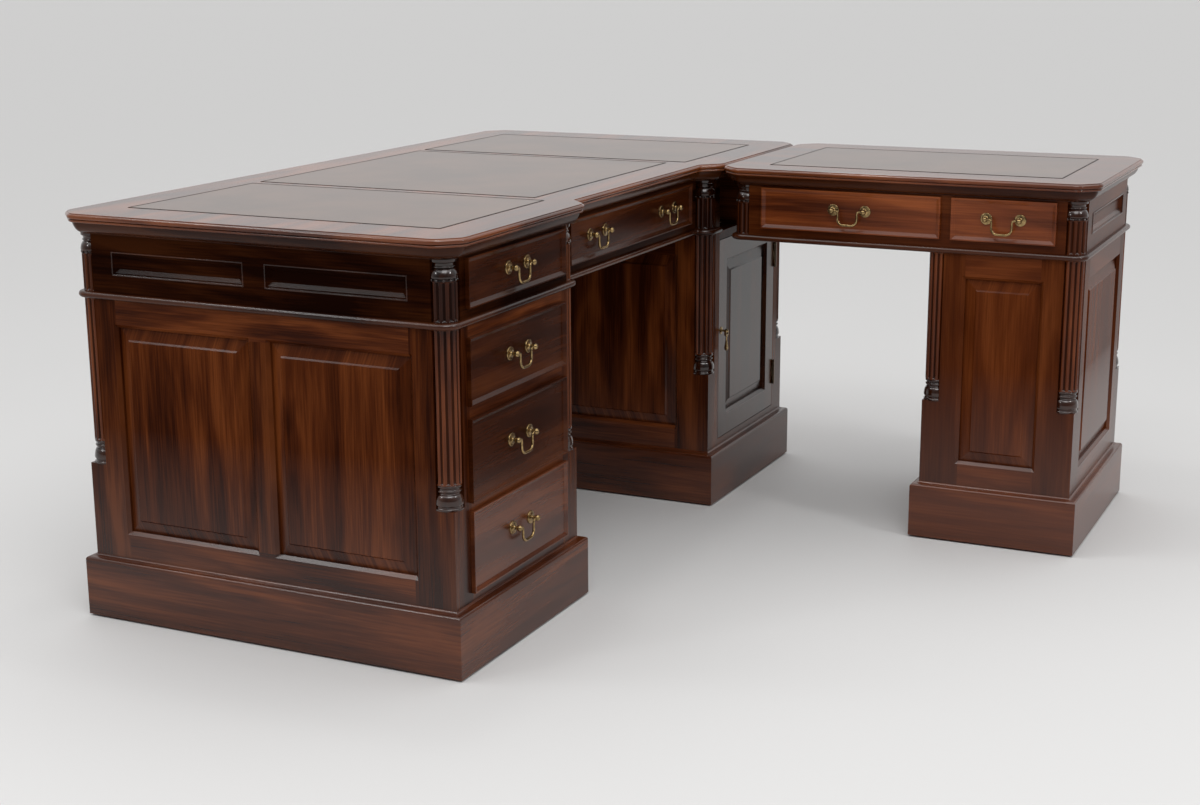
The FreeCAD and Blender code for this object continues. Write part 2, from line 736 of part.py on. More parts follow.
# Front rails of the left pedestal, between its three lower drawers
low_drawers = []
level = carcass_z + low_drawer_rise
low_space = waist_z - low_drawer_drop - level - sum(low_drawer_gaps)
for share, gap in zip(low_drawer_shares, low_drawer_gaps + (0,)):
    low_drawers.append((level, level + low_space * share))
    level += low_space * share + gap
rail_lows = [carcass_z] + [z1 - lip_overlap for z0, z1 in low_drawers]
rail_highs = [z0 + lip_overlap for z0, z1 in low_drawers] + [waist_z]
for z0, z1 in zip(rail_lows, rail_highs):
    keep("pedestal_rails", [block(left.x0 + opening_reach, left.y0, z0, left.x1 - opening_reach,
                                  left.y0 + rail_depth, z1)])

# Front rails of the right pedestal, above and below its door
for z0, z1 in ((carcass_z, carcass_z + door_bottom_rail), (waist_z - door_top_rail, waist_z)):
    keep("pedestal_rails", [block(right.x0 + opening_reach, right.y0, z0, right.x1 - opening_reach,
                                  right.y0 + rail_depth, z1)])

# Frieze boards of the main desk
frieze_lip = (frieze_z + frieze_drawer_rise, frieze_z + frieze_drawer_rise + frieze_drawer_height)
frieze_open = (frieze_lip[0] + lip_overlap, frieze_lip[1] - lip_overlap)
end_length = main.y1 - main.y0 - 2 * post_size
end_board = sunk_board(end_length, *panel_starts(end_length, 2))
keep("main_frieze", placed([end_board], 1, main.x1, main.y0 + post_size))
keep("main_frieze", placed([end_board], 3, main.x0, main.y1 - post_size))
back_length = main.x1 - main.x0 - 2 * post_size
back_board = sunk_board(back_length, *panel_starts(back_length, 4))
keep("main_frieze", placed([back_board], 2, main.x1 - post_size, main.y1))
for wall_x in (left.x1 - frieze_board, right.x0):
    keep("main_frieze", [block(wall_x, main.y0 + post_size, frieze_z, wall_x + frieze_board,
                               main.y1 - frieze_board, top_z)])
for z0, z1 in ((frieze_z, frieze_open[0]), (frieze_open[1], top_z)):
    keep("main_frieze", [block(left.x0 + opening_reach, main.y0, z0, left.x1 - opening_reach,
                               main.y0 + rail_depth, z1)])
kneehole_open = kneehole_drawer_width / 2 - lip_overlap
for z0, z1 in ((frieze_z, frieze_open[0]), (frieze_open[1], top_z)):
    keep("main_frieze", [block(left.x1, kneehole_face, z0, right.x0, kneehole_face + frieze_board, z1)])
for x0, x1 in ((left.x1, -kneehole_open), (kneehole_open, right.x0)):
    keep("main_frieze", [block(x0, kneehole_face, frieze_open[0], x1, kneehole_face + frieze_board,
                               frieze_open[1])])

# Frieze boards of the return
wide_y1 = side.y1 - return_drawer_start
narrow_y0 = side.y0 + return_drawer_end
wide_y0 = wide_y1 - (wide_y1 - narrow_y0 - return_drawer_gap) * return_wide_share
narrow_y1 = wide_y0 - return_drawer_gap
for z0, z1 in ((frieze_z, frieze_open[0]), (frieze_open[1], top_z)):
    keep("return_frieze", [block(side.x0, side.y0 + post_size, z0, side.x0 + rail_depth,
                                 side.y1 - post_size, z1)])
uprights = ((side.y0 + post_size, narrow_y0 + lip_overlap), (narrow_y1 - lip_overlap, wide_y0 + lip_overlap),
            (wide_y1 - lip_overlap, side.y1 - post_size))
for y0, y1 in uprights:
    keep("return_frieze", [block(side.x0, y0, frieze_open[0], side.x0 + rail_depth, y1, frieze_open[1])])
side_length = side.x1 - side.x0 - 2 * post_size
side_board = sunk_board(side_length, *panel_starts(side_length, 1))
keep("return_frieze", placed([side_board], 0, side.x0 + post_size, side.y0))
keep("return_frieze", placed([side_board], 2, side.x1 - post_size, side.y1))
rear_length = side.y1 - side.y0 - 2 * post_size
rear_board = sunk_board(rear_length, *panel_starts(rear_length, 2))
keep("return_frieze", placed([rear_board], 1, side.x1, side.y0 + post_size))

# Plinths and glides
for plan in (left, right, outer):
    keep("plinths", plinth(plan))
    keep("glides", glides(plan))

# Drawers of the main desk, which open towards -Y
left_middle = (left.x0 + left.x1) / 2
beside = pedestal_width / 2 - frame_thickness - drawer_width / 2 + lip_overlap
names = ("left_drawer_bottom", "left_drawer_middle", "left_drawer_top")
for name, (z0, z1) in zip(names, low_drawers):
    drawer(name, drawer_width, z0, z1, drawer_length, (0,), 0, left_middle, main.y0)
    thickness = min(runner_thickness, z0 + lip_overlap - carcass_z - board_thickness)
    runners(drawer_width, z0, drawer_length, beside, thickness, 0, left_middle, main.y0)
over_waist = frieze_open[0] - frieze_z
drawer("left_frieze_drawer", drawer_width, *frieze_lip, drawer_length, (0,), 0, left_middle, main.y0)
runners(drawer_width, frieze_lip[0], drawer_length, 0, over_waist, 0, left_middle, main.y0)
drawer("kneehole_drawer", kneehole_drawer_width, *frieze_lip, kneehole_drawer_length,
       [kneehole_drawer_width * kneehole_handle_share * sign for sign in (-1, 1)], 0, 0, kneehole_face)
runners(kneehole_drawer_width, frieze_lip[0], kneehole_drawer_length, 0, over_waist, 0, 0, kneehole_face)

# Drawers of the return, which open towards -X
return_drawers = (("return_wide_drawer", wide_y0, wide_y1), ("return_narrow_drawer", narrow_y0, narrow_y1))
for name, y0, y1 in return_drawers:
    drawer(name, y1 - y0, *frieze_lip, return_drawer_length, (0,), 3, side.x0, (y0 + y1) / 2)
    runners(y1 - y0, frieze_lip[0], return_drawer_length, 0, over_waist, 3, side.x0, (y0 + y1) / 2)

# Bearer of the return: a box of boards that lies on the right pedestal in its open recess
bearer_x1 = recess_x1 - bearer_side_gap
bearer_x0 = bearer_x1 - bearer_width
bearer_y1 = main.y0 + bearer_reach
bearer_z1 = waist_z + bearer_height
inner_x0 = bearer_x0 + bearer_board
inner_x1 = bearer_x1 - bearer_board
inner_y1 = bearer_y1 - bearer_board
bearer = [block(bearer_x0, side.y1, waist_z, inner_x0, bearer_y1, bearer_z1),
          block(inner_x1, side.y1, waist_z, bearer_x1, bearer_y1, bearer_z1),
          block(inner_x0, inner_y1, waist_z, inner_x1, bearer_y1, bearer_z1),
          block(inner_x0, side.y1, bearer_z1 - bearer_board, inner_x1, inner_y1, bearer_z1)]
over_nosing = block(bearer_x0, side.y1, waist_z, bearer_x1, side.y1 + waist_projection, frieze_z)
keep("return_bearer", [board.cut(over_nosing) for board in bearer])

# Cupboard door, modelled facing -Y with its face at y = 0 and its hinge edge at x = 0
door_x1 = right.x1 - opening_reach - door_gap
door_width = pedestal_width - 2 * opening_reach - 2 * door_gap
door_z0 = carcass_z + door_bottom_rail + door_gap
door_z1 = waist_z - door_top_rail - door_gap
stiles, rails, panels = framed_side(door_width, door_z0, door_z1, 1, door_stile, door_rail)
pull_x = pull_back_set
pull_z = carcass_z + pedestal_height * pull_height_share
lock_y = frame_thickness - lock_thickness
lock_z0, lock_z1 = pull_z - lock_height / 2, pull_z + lock_height / 2
lock_pocket = block(-overrun, lock_y, lock_z0, lock_width, frame_thickness + overrun, lock_z1)
spindle_hole = pin(spindle_radius + spindle_clearance, Vector(pull_x, -2 * overrun, pull_z),
                   Vector(pull_x, frame_thickness - lock_wall, pull_z))
leaf_zs = (door_z0 + hinge_inset, door_z1 - hinge_inset)
door_edge = door_width
post_edge = door_width + door_gap
hinge_x = door_width + door_gap / 2
hinge_y = -knuckle_stand_off
door_leaves = []
frame_leaves = []
knuckle = hinge_height / 3
for z in leaf_zs:
    low = z - hinge_height / 2
    foot = Vector(hinge_x, hinge_y, low)
    head = Vector(hinge_x, hinge_y, low + hinge_height)
    bore = pin(hinge_pin_radius + hinge_pin_clearance, foot, head)
    barrel = rod(knuckle_radius, foot, head, turned_sides)
    wide = door_width + hinge_leaf_width
    middle = block(0, -wide, low + knuckle + knuckle_gap, wide, wide, low + 2 * knuckle - knuckle_gap)
    ends = [block(0, -wide, low, wide, wide, low + knuckle),
            block(0, -wide, low + 2 * knuckle, wide, wide, low + hinge_height)]
    plate = block(door_edge - hinge_leaf, 0, low, door_edge, hinge_leaf_width, low + hinge_height)
    web = block(door_edge - hinge_leaf, hinge_y, low, door_edge, 0, low + hinge_height)
    door_leaves.append(plate.fuse([barrel.common(middle), web.common(middle)]).cut(bore).removeSplitter())
    fixed = block(post_edge, 0, low, post_edge + hinge_leaf, hinge_leaf_width, low + hinge_height)
    tab = block(post_edge, hinge_y, low, post_edge + hinge_leaf, 0, low + hinge_height)
    knuckles = [shape.common(part) for part in ends for shape in (barrel, tab)]
    frame_leaves.append(fixed.fuse(knuckles + [pin(hinge_pin_radius, foot, head)]).removeSplitter())
leaf_beds = [block(door_edge - hinge_leaf, -overrun, z - hinge_height / 2, hinge_x, hinge_leaf_width,
                   z + hinge_height / 2) for z in leaf_zs]
stiles = [s.cut(leaf_beds + [lock_pocket, spindle_hole]) for s in stiles]
door_at = (0, right.x0 + opening_reach + door_gap, right.y0)
keep("door_frame", placed(stiles + rails, *door_at))
keep("door_panel", placed(panels, *door_at))
keep("door_hinges", placed(door_leaves, *door_at))
keep("hinge_leaves", placed(frame_leaves, *door_at))

# Latch case and bolt
case = block(0, lock_y, lock_z0, lock_width, frame_thickness, lock_z1)
cavity = block(lock_wall, lock_y + lock_wall, lock_z0 + lock_wall, lock_width - lock_wall,
               frame_thickness - lock_wall, lock_z1 - lock_wall)
bolt_y = lock_y + lock_wall + bolt_clearance
bolt_z = pull_z + cam_height + spindle_radius + bolt_clearance
slot = block(-overrun, bolt_y - bolt_clearance, bolt_z - bolt_clearance, lock_width - lock_wall,
             bolt_y + bolt_thickness + bolt_clearance, bolt_z + bolt_height + bolt_clearance)
bolt = block(bolt_back_set, bolt_y, bolt_z, bolt_back_set + bolt_length, bolt_y + bolt_thickness,
             bolt_z + bolt_height)
keep("latch_case", placed([case.cut([cavity, slot, spindle_hole])], *door_at))
keep("latch_bolt", placed([bolt], *door_at))

# Spindle of the pull, with a ball in front and a cam in the latch case
tip_y = lock_y + lock_wall + cam_length
pivot = Vector(pull_x, -pull_stand_off, pull_z)
shank = pin(spindle_radius, pivot, Vector(pull_x, tip_y, pull_z))
cam = block(pull_x - cam_thickness / 2, bolt_y, pull_z - spindle_radius - cam_height,
            pull_x + cam_thickness / 2, tip_y, pull_z)
ball_section = [(pull_ball_radius * wide, pull_ball_radius * (out - 1)) for wide, out in ball_shares]
ball = turned(ball_section, turned_sides)
ball.rotate(Vector(0, 0, 0), Vector(1, 0, 0), math.degrees(math.pi / 2))
ball.translate(pivot)
spindle = shank.fuse([cam, ball]).removeSplitter()
cheek_x = pull_ball_radius + pull_cheek_gap
drop_pieces = []
for sign in (-1, 1):
    out = Vector(sign, 0, 0)
    bottom = pivot + out * (cheek_x - pull_pin_grip - pull_cheek_gap)
    start = pivot + out * cheek_x
    spindle = spindle.cut(faceted_hole(pull_pin_radius + pull_pin_clearance, bottom, start))
    drop_pieces.append(rod(pull_pin_radius, start, start - out * pull_pin_grip, rod_sides))
    drop_pieces.append(rod(pull_cheek_radius, start, start + out * pull_cheek_thickness, turned_sides))
    drop_pieces.append(block(start.x, start.y - pull_cheek_radius, pull_z - pull_bridge_drop,
                             start.x + sign * pull_cheek_thickness, start.y + pull_cheek_radius, pull_z))
keep("pull_spindle", placed([spindle], *door_at))

# Drop of the pull: a turned pendant on a fork that swings on the ball
reach = cheek_x + pull_cheek_thickness
bridge_z = pull_z - pull_bridge_drop - pull_bridge_thickness
drop_pieces.append(block(pull_x - reach, pivot.y - pull_cheek_radius, bridge_z,
                         pull_x + reach, pivot.y + pull_cheek_radius, pull_z - pull_bridge_drop))
pendant = turned([(drop_radius * wide, -drop_length * down) for wide, down in drop_shares], turned_sides)
pendant.translate(Vector(pull_x, pivot.y, bridge_z))
keep("pull_drop", placed([pendant.fuse(drop_pieces).removeSplitter()], *door_at))

# Escutcheon: a low domed disc round the spindle
rose_section = ((escutcheon_radius, 0), (escutcheon_radius, escutcheon_edge),
                (neck_radius, escutcheon_height))
rose = turned(rose_section, turned_sides)
rose.rotate(Vector(0, 0, 0), Vector(1, 0, 0), math.degrees(math.pi / 2))
rose.translate(Vector(pull_x, 0, pull_z))
keep("door_escutcheon", placed([rose.cut(spindle_hole)], *door_at))

# Mortise for the bolt and beds for the fixed hinge leaves in the right pedestal's front posts
mortise = block(-door_gap - bolt_throw - overrun, bolt_y - bolt_clearance, bolt_z - bolt_clearance, 0,
                bolt_y + bolt_thickness + bolt_clearance, bolt_z + bolt_height + bolt_clearance)
fixed_beds = [block(hinge_x, -overrun, z - hinge_height / 2, post_edge + hinge_leaf, hinge_leaf_width,
                    z + hinge_height / 2) for z in leaf_zs]
cutters = placed([mortise] + fixed_beds, *door_at)
nodes["pedestal_stiles"] = [s.cut(cutters) for s in nodes["pedestal_stiles"]]

# Shelf in the cupboard on its two bearers
shelf_z = carcass_z + pedestal_height * shelf_height_share
shelf_y = (right.y0 + post_size + shelf_set_back, right.y1 - post_size)
shelf_x = (right.x0 + frame_thickness, right.x1 - frame_thickness)
keep("cupboard_shelf", [block(shelf_x[0], shelf_y[0], shelf_z, shelf_x[1], shelf_y[1],
                              shelf_z + shelf_thickness)])
for x0, x1 in ((shelf_x[0], shelf_x[0] + shelf_bearer), (shelf_x[1] - shelf_bearer, shelf_x[1])):
    keep("cupboard_shelf", [block(x0, shelf_y[0], shelf_z - shelf_bearer, x1, shelf_y[1], shelf_z)])

os.makedirs("parts", exist_ok=True)
for name, solids in nodes.items():
    Part.makeCompound(solids).exportStep("parts/" + name + ".step")
print(len(nodes), "nodes,", sum(len(s) for s in nodes.values()), "solids")
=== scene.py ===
import json
import math
import bpy
import numpy as np
from mathutils import Euler, Matrix, Vector

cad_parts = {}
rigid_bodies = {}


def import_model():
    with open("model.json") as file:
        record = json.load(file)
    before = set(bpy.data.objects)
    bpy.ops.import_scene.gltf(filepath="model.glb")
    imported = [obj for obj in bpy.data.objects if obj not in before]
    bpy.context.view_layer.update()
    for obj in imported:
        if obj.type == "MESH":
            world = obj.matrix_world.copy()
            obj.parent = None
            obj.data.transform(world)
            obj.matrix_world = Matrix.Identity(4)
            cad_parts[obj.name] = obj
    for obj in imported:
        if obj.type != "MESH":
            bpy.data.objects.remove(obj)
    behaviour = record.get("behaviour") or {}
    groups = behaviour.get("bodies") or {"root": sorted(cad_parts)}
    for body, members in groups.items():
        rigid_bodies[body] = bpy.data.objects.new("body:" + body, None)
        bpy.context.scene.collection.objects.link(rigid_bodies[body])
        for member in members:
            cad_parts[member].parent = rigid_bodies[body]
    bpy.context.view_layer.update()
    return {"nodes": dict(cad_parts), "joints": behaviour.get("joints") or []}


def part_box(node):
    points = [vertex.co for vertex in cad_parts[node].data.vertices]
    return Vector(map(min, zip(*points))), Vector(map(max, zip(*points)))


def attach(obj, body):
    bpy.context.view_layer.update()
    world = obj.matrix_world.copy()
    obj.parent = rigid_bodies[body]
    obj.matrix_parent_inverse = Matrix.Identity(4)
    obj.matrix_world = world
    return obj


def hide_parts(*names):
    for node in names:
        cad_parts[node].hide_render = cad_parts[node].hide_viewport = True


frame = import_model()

# Plinths: four mahogany boards round the foot of each of the three pedestals.
# Their upper edge is worked to an ovolo with a cove above it, and the corners are mitred and glued.


def new_finish(name):
    """A new material, with its shader."""
    material = bpy.data.materials.new(name)
    material.use_nodes = True
    return material, material.node_tree.nodes["Principled BSDF"]


def stretched(tree, place, scale):
    """A place whose three parts are multiplied by the three of scale."""
    stretch = tree.nodes.new("ShaderNodeMapping")
    stretch.inputs["Scale"].default_value = scale
    tree.links.new(place, stretch.inputs["Vector"])
    return stretch.outputs[0]


def mottled(tree, place, scale, detail=2, bend=0):
    """Noise over a place times scale, with detail finer layers in it, its place warped by bend."""
    noise = tree.nodes.new("ShaderNodeTexNoise")
    for socket, value in (("Scale", scale), ("Detail", detail), ("Distortion", bend)):
        noise.inputs[socket].default_value = value
    tree.links.new(place, noise.inputs["Vector"])
    return noise.outputs["Fac"]


def weighed(tree, value, weight, added):
    """The value times the weight plus what is added, each of them a number or a socket."""
    total = tree.nodes.new("ShaderNodeMath")
    total.operation = "MULTIPLY_ADD"
    for socket, given in zip(total.inputs, (value, weight, added)):
        if isinstance(given, bpy.types.NodeSocket):
            tree.links.new(given, socket)
        else:
            socket.default_value = given
    return total.outputs[0]


def graded(tree, value, start, end, at_start, at_end):
    """A number that runs evenly from at_start to at_end as the value runs from start to end, and no further."""
    grade = tree.nodes.new("ShaderNodeMapRange")
    for socket, number in (("From Min", start), ("From Max", end), ("To Min", at_start), ("To Max", at_end)):
        grade.inputs[socket].default_value = number
    tree.links.new(value, grade.inputs["Value"])
    return grade.outputs["Result"]


def share_of(colour, share):
    """A colour with each of its parts multiplied by a share."""
    return [part * share for part in colour]


def tinted(tree, value, *stops):
    """A colour that runs evenly through the stops, each a position and a colour, as the value rises."""
    ramp = tree.nodes.new("ShaderNodeValToRGB")
    for stop in stops[1:-1]:
        ramp.color_ramp.elements.new(stop[0])
    for element, (position, colour) in zip(ramp.color_ramp.elements, stops):
        element.position = position
        element.color = (*colour, 1)
    tree.links.new(value, ramp.inputs[0])
    return ramp.outputs["Color"]


def mahogany(name, grain, tone, coat=0, dull=0.06, edge=0.6, figure=1):
    """Polished mahogany. With a along the grain and c across it, the figure is the sum of three noises:
    broad flames over (7c, a), streaks over (42c, 1.5a) and pores over (300c, 9a). The sum picks a colour
    between dark brown and red brown, which tone multiplies. Its departures from the middle are multiplied by
    figure, and by half of that on the return, where the colour is also paler; both changes run evenly from
    y = -0.05 to y = -0.45. The shine falls evenly up to the knees, above which the flat faces are as shiny as
    dull says, and it rises with the upward tilt of a face, by edge at most, as on rubbed edges and mouldings.
    Coat lays a clear gloss over it."""
    palest_y, unpaled_y, paleness = -0.45, -0.05, 1.35
    foot_z, knee_z, foot_shine = 0.08, 0.38, 0.52
    least_tilt, most_tilt = 0.08, 0.5
    flames, streaks, pores = ((7, 1.0, 1), 1.8, 0.56), ((42, 1.5, 1), 0.6, 0.24), ((300, 9, 1), 0, 0.2)
    mean_noise = 0.5
    dark = 0.42, share_of((0.026, 0.0050, 0.0012), tone)
    middle = mean_noise, share_of((0.068, 0.0150, 0.0034), tone)
    light = 0.59, share_of((0.140, 0.0360, 0.0086), tone)
    material, shader = new_finish(name)
    tree = material.node_tree
    link = tree.links.new
    place = tree.nodes.new("ShaderNodeSeparateXYZ")
    link(tree.nodes.new("ShaderNodeTexCoord").outputs["Object"], place.inputs[0])
    x, y, z = place.outputs
    level = weighed(tree, x, 1, y)
    plank = tree.nodes.new("ShaderNodeCombineXYZ")
    ways = {"upright": (level, z), "level": (z, level), "along_x": (y, x), "along_y": (x, y)}
    for way, socket in zip(ways[grain], plank.inputs):
        link(way, socket)
    total = -mean_noise
    for stretch, bend, weight in (flames, streaks, pores):
        noise = mottled(tree, stretched(tree, plank.outputs[0], stretch), scale=1, detail=3, bend=bend)
        total = weighed(tree, noise, weight, total)
    shade = weighed(tree, total, graded(tree, y, palest_y, unpaled_y, figure / 2, figure), mean_noise)
    faded = tree.nodes.new("ShaderNodeVectorMath")
    faded.operation = "SCALE"
    link(tinted(tree, shade, dark, middle, light), faded.inputs[0])
    link(graded(tree, y, palest_y, unpaled_y, paleness, 1), faded.inputs["Scale"])
    link(faded.outputs["Vector"], shader.inputs["Base Color"])
    facing = tree.nodes.new("ShaderNodeSeparateXYZ")
    link(tree.nodes.new("ShaderNodeNewGeometry").outputs["Normal"], facing.inputs[0])
    wear = graded(tree, z, foot_z, knee_z, foot_shine, dull)
    rubbed = graded(tree, facing.outputs["Z"], least_tilt, most_tilt, 0, edge)
    shader.inputs["Specular IOR Level"].default_value = dull
    link(weighed(tree, wear, 1, rubbed), shader.inputs["Specular IOR Level"])
    shader.inputs["Roughness"].default_value = 0.26
    shader.inputs["Coat Weight"].default_value = coat
    shader.inputs["Coat Roughness"].default_value = 0.1
    return material


def piece(name, grids, material, slot, body, *stands_for, loop_rows=False):
    """One mesh from like grids of points, each of shape (rows, columns, 3). Neighbouring points are joined by
    four-sided faces and every row closes on itself. The rows close too if they loop, and otherwise the first
    and last row are each filled by one flat face, all of these after the other faces. Faces are turned over if
    the first grid's volume, the sum of one . (two x three) over its triangles, comes out negative."""
    stack = np.array(grids, float)
    count, rows, columns = stack.shape[:3]
    numbers = np.arange(rows * columns).reshape(rows, columns)
    numbers = np.hstack([numbers, numbers[:, :1]])
    if loop_rows:
        numbers = np.vstack([numbers, numbers[:1]])
    quads = np.stack([numbers[:-1, :-1], numbers[:-1, 1:], numbers[1:, 1:], numbers[1:, :-1]], -1)
    quads = quads.reshape(-1, 4)
    ends = np.empty((0, columns), int) if loop_rows else np.array([numbers[0, -2::-1], numbers[-1, :-1]])
    local = stack[0].reshape(-1, 3) - stack[0].reshape(-1, 3).mean(0)
    triangles = np.vstack([quads[:, :3], quads[:, [0, 2, 3]]])
    for end in ends:
        fan = np.column_stack([np.full(columns - 2, end[0]), end[1:-1], end[2:]])
        triangles = np.vstack([triangles, fan])
    one, two, three = local[triangles].transpose(1, 0, 2)
    if (one * np.cross(two, three)).sum() < 0:
        quads = quads[:, ::-1]
        ends = ends[:, ::-1]
    shift = (np.arange(count) * rows * columns)[:, None, None]
    faces = (quads + shift).reshape(-1, 4).tolist() + (ends + shift).reshape(-1, columns).tolist()
    sharp_angle = math.radians(40)
    mesh = bpy.data.meshes.new(name)
    mesh.from_pydata(stack.reshape(-1, 3).tolist(), [], faces)
    mesh.shade_smooth()
    mesh.set_sharp_from_angle(angle=sharp_angle)
    mesh.materials.append(material)
    made = bpy.data.objects.new(name, mesh)
    bpy.context.scene.collection.objects.link(made)
    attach(made, body)
    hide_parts(*stands_for)
    return made


def bow(across, rise, wide, tall, start, end, count=9):
    """Points (across + wide cos t, rise + tall sin t), t running from start to end degrees."""
    turn = np.radians(np.linspace(start, end, count))
    return np.column_stack([across + wide * np.cos(turn), rise + tall * np.sin(turn)])


def mitred_path(low_x, low_y, high_x, high_y):
    """Corners of a rectangle, each with the step that moves it out along its mitre by one."""
    points = np.array([(low_x, low_y), (high_x, low_y), (high_x, high_y), (low_x, high_y)])
    return points, np.array([(-1, -1), (1, -1), (1, 1), (-1, 1)])


def swept(path, profile):
    """A profile of (out, z) points carried along a path: each of the path's points is moved by out times its
    normal, to height z."""
    points, normals = path
    flat = points[None] + profile[:, :1, None] * normals[None]
    return np.dstack([flat, np.broadcast_to(profile[:, 1:], flat.shape[:2])])


main_low, main_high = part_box("main_frieze")
return_low, return_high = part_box("return_frieze")
pedestal_width = 0.476
return_pedestal_width = 0.321
left_x1 = main_low.x + pedestal_width
right_x0 = main_high.x - pedestal_width
return_y1 = return_low.y + return_pedestal_width
pedestals = ((main_low.x, main_low.y, left_x1, main_high.y), (right_x0, main_low.y, main_high.x, main_high.y),
             (return_low.x, return_low.y, return_high.x, return_y1))
plinth_low, plinth_high = (corner.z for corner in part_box("plinths"))
plinth_back, plinth_face = -0.018, 0.016
ovolo, ovolo_z = 0.006, 0.113
cove_wide, cove_tall = 0.008, 0.005
plinth_profile = np.vstack([
    [(plinth_back, plinth_low), (plinth_face, plinth_low)],
    bow(plinth_face - ovolo, ovolo_z, ovolo, ovolo, 0, 90),
    bow(cove_wide, plinth_high, -cove_wide, -cove_tall, 90, 0),
    [(plinth_back, plinth_high)]])
plinth_wood = mahogany("plinth mahogany", "level", tone=1.15, figure=0.8)
piece("plinth_boards", [swept(mitred_path(*plan), plinth_profile) for plan in pedestals],
      plinth_wood, "mahogany", "desk", "plinths", loop_rows=True)

# Glides: low round discs of dark plastic under the corners of each plinth.
# They are nailed on and keep the plinths just off the floor.


def plain(name, colour, metal, roughness):
    """One even colour with one roughness."""
    material, shader = new_finish(name)
    shader.inputs["Base Color"].default_value = (*colour, 1)
    shader.inputs["Metallic"].default_value = metal
    shader.inputs["Roughness"].default_value = roughness
    return material


def dress(names, material):
    """Gives each named piece of the frame one material."""
    for name in names:
        nodes[name].data.materials.clear()
        nodes[name].data.materials.append(material)


nodes = frame["nodes"]
dress(["glides"], plain("dark plastic", (0.03, 0.028, 0.026), metal=0, roughness=0.5))

# Pedestal frames: upright stiles and corner posts, level rails between them and raised, fielded panels.
# All are solid mahogany, tenoned together with the panels loose in their grooves, and polished.
dress(["pedestal_stiles"], mahogany("stile mahogany", "upright", tone=0.85, dull=0.03))
dress(["pedestal_rails"], mahogany("rail mahogany", "level", tone=1.1, edge=0.35))
dress(["raised_panels"], mahogany("panel mahogany", "upright", tone=1.05, dull=0.02, edge=0.2))

# Boards and runners inside: the pedestals' floors and ceilings, the drawer runners and the cupboard shelf.
# They are plain waxed hardwood, housed and glued into the frames.


def waxed(name, colour):
    """Plain waxed wood: the given colour, lightened and darkened a little by noise stretched along X and Y."""
    material, shader = new_finish(name)
    tree = material.node_tree
    place = tree.nodes.new("ShaderNodeTexCoord").outputs["Object"]
    streaks = mottled(tree, stretched(tree, place, scale=(3, 3, 60)), scale=1)
    shown = tinted(tree, streaks, (0, share_of(colour, 0.75)), (1, share_of(colour, 1.2)))
    tree.links.new(shown, shader.inputs["Base Color"])
    shader.inputs["Roughness"].default_value = 0.55
    return material


lining_wood = waxed("waxed lining wood", (0.30, 0.19, 0.10))
dress(["pedestal_boards", "drawer_runners", "cupboard_shelf"], lining_wood)

# Lower columns: engaged mahogany shafts with twelve flutes on turned bases, in notches at the corners.
# Each shaft is turned, fluted with a round cutter that fades out at both ends, and glued into its notch.


def turned(centre, profile, sides=40):
    """A turned surface: at turn t the point (centre x + r cos t, centre y + r sin t, z) for each (r, z)."""
    turn = np.linspace(0, 2 * math.pi, sides, endpoint=False)
    return swept((np.tile(centre, (sides, 1)), np.column_stack([np.cos(turn), np.sin(turn)])), profile)


def fluted(centre, low, high):
    """A fluted shaft: within half a width of a flute's middle, the column's radius is less by the flute's depth
    times (1 - (aside / half a width)^2) times fade. Aside is the distance round the shaft from the middle, and
    fade rises from 0 at the ends to 1 as a quarter circle."""
    turn = np.linspace(0, 2 * math.pi, flute_count * flute_columns, endpoint=False)
    aside = (np.mod(turn * flute_count / (2 * math.pi) + 0.5, 1) - 0.5) * flute_pitch
    hollow = flute_depth * np.clip(1 - (aside / (flute_width / 2)) ** 2, 0, None)
    quarter = np.linspace(0, math.pi / 2, fade_steps)
    run_out = flute_margin + flute_fade * (1 - np.cos(quarter))
    height = np.concatenate([[low], low + run_out, high - run_out[::-1], [high]])
    fade = np.concatenate([[0], np.sin(quarter), np.sin(quarter)[::-1], [0]])
    radius = column_radius - fade[:, None] * hollow[None]
    flat = np.array(centre) + radius[..., None] * np.column_stack([np.cos(turn), np.sin(turn)])
    return np.dstack([flat, np.broadcast_to(height[:, None], radius.shape)])


def darken_flutes(shafts, material):
    """A second material for the faces whose middle lies within dark_share of a flute's width from the flute's
    middle, on all rows but the plain ones at both ends."""
    shafts.data.materials.append(material)
    columns = flute_count * flute_columns
    share = np.abs(np.mod((np.arange(columns) + 0.5) / flute_columns + 0.5, 1) - 0.5)
    inside = np.zeros((2 * fade_steps + 1, columns), int)
    inside[1:-1] = share * flute_pitch < dark_share * flute_width
    count = len(shafts.data.polygons) // (inside.size + flat_ends)
    indices = np.append(np.tile(inside.ravel(), count), np.zeros(flat_ends * count, int))
    shafts.data.polygons.foreach_set("material_index", indices)


column_radius = 0.0240
column_inset = 0.0240
flute_count = 12
flute_columns = 10
flute_pitch = 2 * math.pi * column_radius / flute_count
flute_width = 0.0088
flute_depth = 0.0030
flute_margin = 0.0015
flute_fade = 0.006
fade_steps = 6
dark_share = 0.27
flat_ends = 2
outer_x0, outer_x1 = main_low.x + column_inset, main_high.x - column_inset
inner_x0, inner_x1 = left_x1 - column_inset, right_x0 + column_inset
return_xs = return_low.x + column_inset, return_high.x - column_inset
return_front = return_low.y + column_inset
main_axes = [(x, main_low.y + column_inset) for x in (outer_x0, inner_x0, inner_x1, outer_x1)]
main_axes += [(x, main_high.y - column_inset) for x in (outer_x0, outer_x1)]
lower_axes = main_axes + [(x, y) for x in return_xs for y in (return_front, return_y1 - column_inset)]
base_low, base_high = (corner.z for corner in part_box("column_bases"))
shaft_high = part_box("lower_columns")[1].z
column_wood = mahogany("column mahogany", "upright", tone=1.3, coat=0.3)
